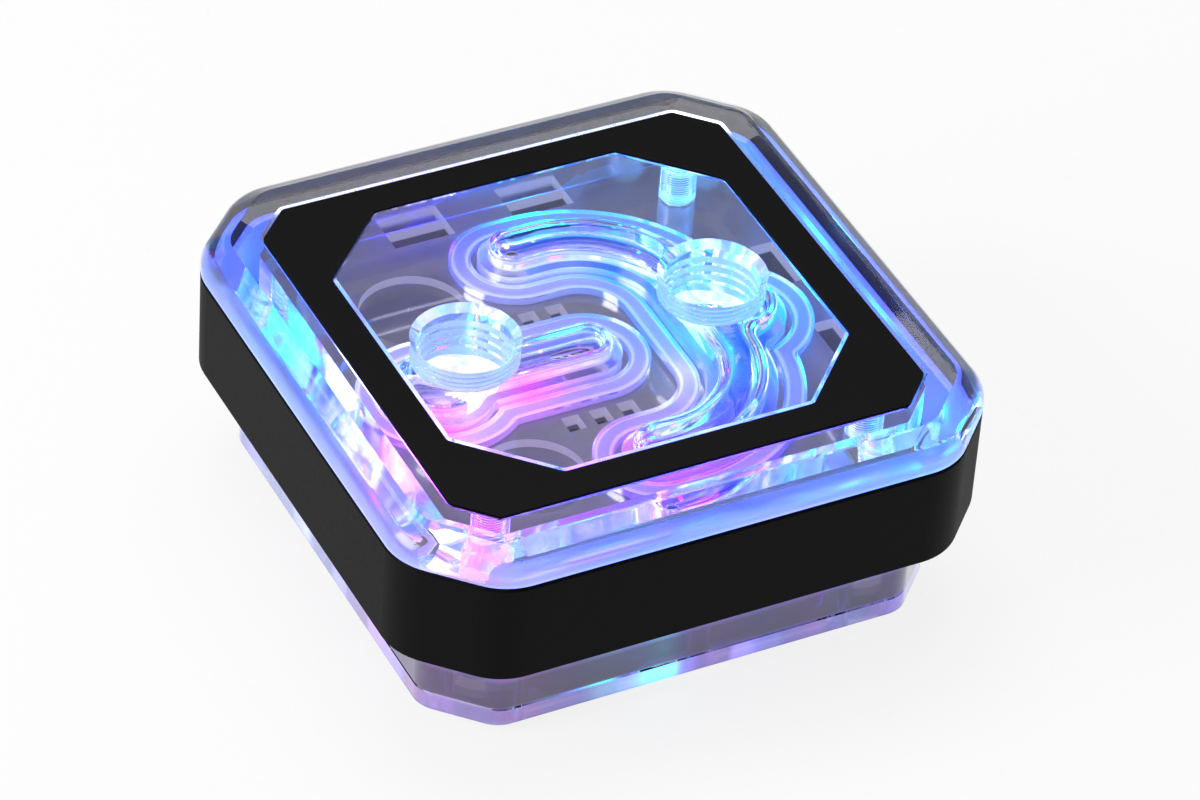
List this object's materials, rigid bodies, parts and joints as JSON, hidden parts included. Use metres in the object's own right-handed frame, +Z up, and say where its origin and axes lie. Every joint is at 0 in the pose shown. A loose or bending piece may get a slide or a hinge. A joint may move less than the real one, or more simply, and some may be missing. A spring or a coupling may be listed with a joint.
{
  "type": "processor water block",
  "caption": "Clear-topped processor water block with threaded ports, gasketed water channels over a finned cold plate, a black side ring and a light strip around its body.",
  "frame": {"origin": "middle of the cold plate's contact face, on the plane the block rests on", "axes": "+Z up out of the ports, +X from the inlet port to the outlet port, front is -Y"},
  "size_m": [0.076, 0.076, 0.031],
  "materials": {
    "clear_acrylic": "clear, polished",
    "black_frame": "satin black",
    "black_ring": "matte black",
    "gasket": "translucent, soft",
    "plated_copper": "nickel plated, satin",
    "black_seal": "matte",
    "jet_steel": "brushed",
    "screw_steel": "plain",
    "strip_film": "matte white",
    "emitter": "clear lens over white case",
    "header_plastic": "matte"
  },
  "bodies": {
    "root": {"cover": "clear_acrylic", "frame_plate": "black_frame", "side_ring": "black_ring", "inlet_gasket": "gasket", "outlet_gasket": "gasket", "base_plate": "clear_acrylic", "retainer_plate": "clear_acrylic", "cold_plate": "plated_copper", "cold_plate_seal": "black_seal", "jet_plate": "jet_steel", "cover_screws": "screw_steel", "retainer_screws": "screw_steel", "light_strip": "strip_film", "light_emitters": "emitter", "light_header": "header_plastic"}
  },
  "joints": []
}
